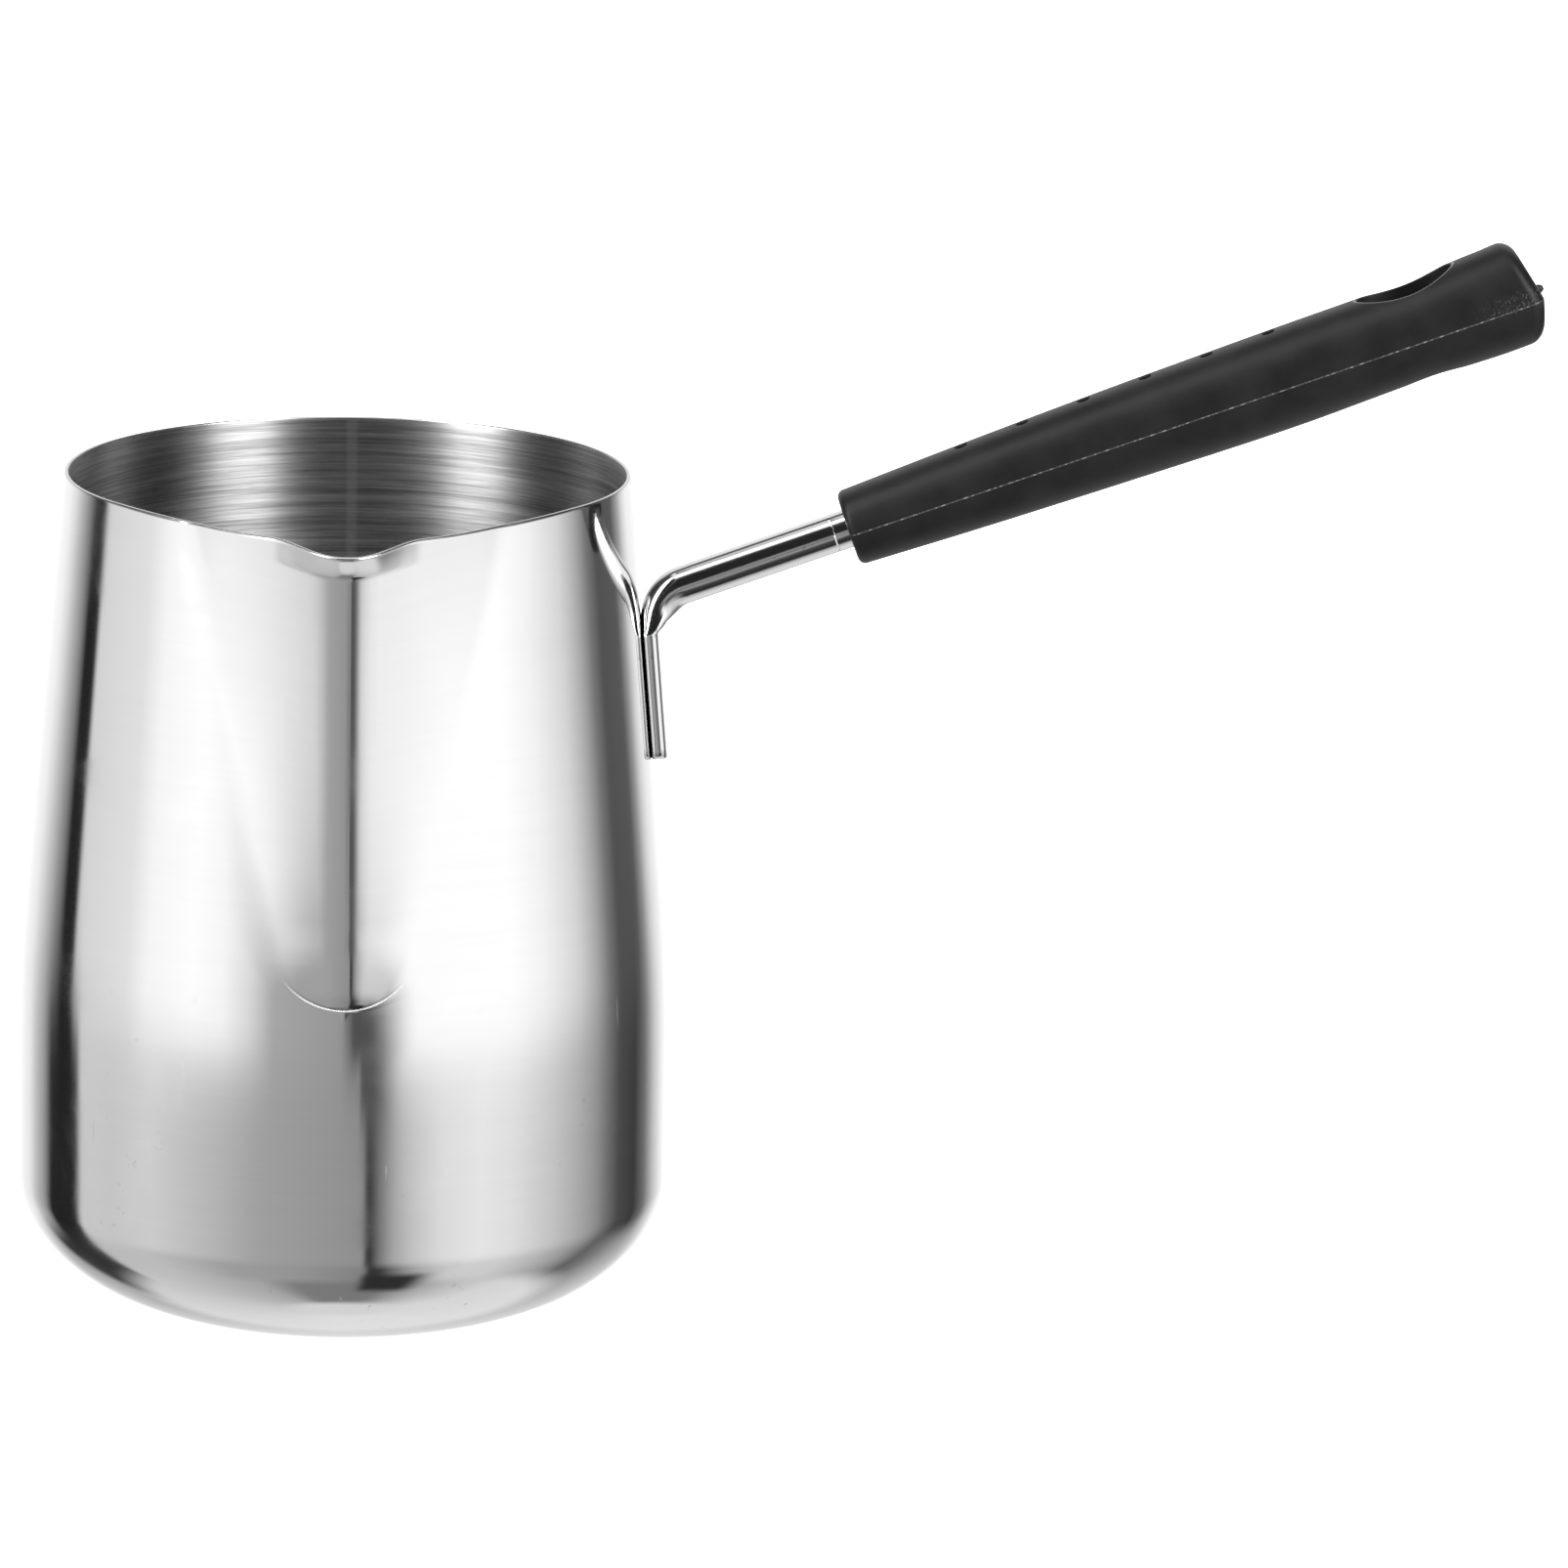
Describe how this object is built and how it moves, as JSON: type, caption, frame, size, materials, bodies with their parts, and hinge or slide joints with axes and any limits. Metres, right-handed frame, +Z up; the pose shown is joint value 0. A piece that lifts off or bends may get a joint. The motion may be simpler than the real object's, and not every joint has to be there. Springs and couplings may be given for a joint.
{
  "type": "candle melting pot",
  "caption": "Tall tapered steel melting pot with a pressed pouring spout, a spot-welded bent tube handle and a moulded black grip with a hang hole.",
  "frame": {"origin": "centre of the flat base, on the face the pot rests on", "axes": "+Z up along the vessel's axis, +X towards the handle, -Y towards the pouring spout"},
  "size_m": [0.2321, 0.1021, 0.1656],
  "materials": {
    "pot_steel": "polished outside, circular satin lines inside",
    "tube_steel": "polished",
    "grip_plastic": "satin moulded"
  },
  "bodies": {
    "root": {"pot_body": "pot_steel", "handle_tube": "tube_steel", "handle_grip": "grip_plastic"}
  },
  "joints": []
}
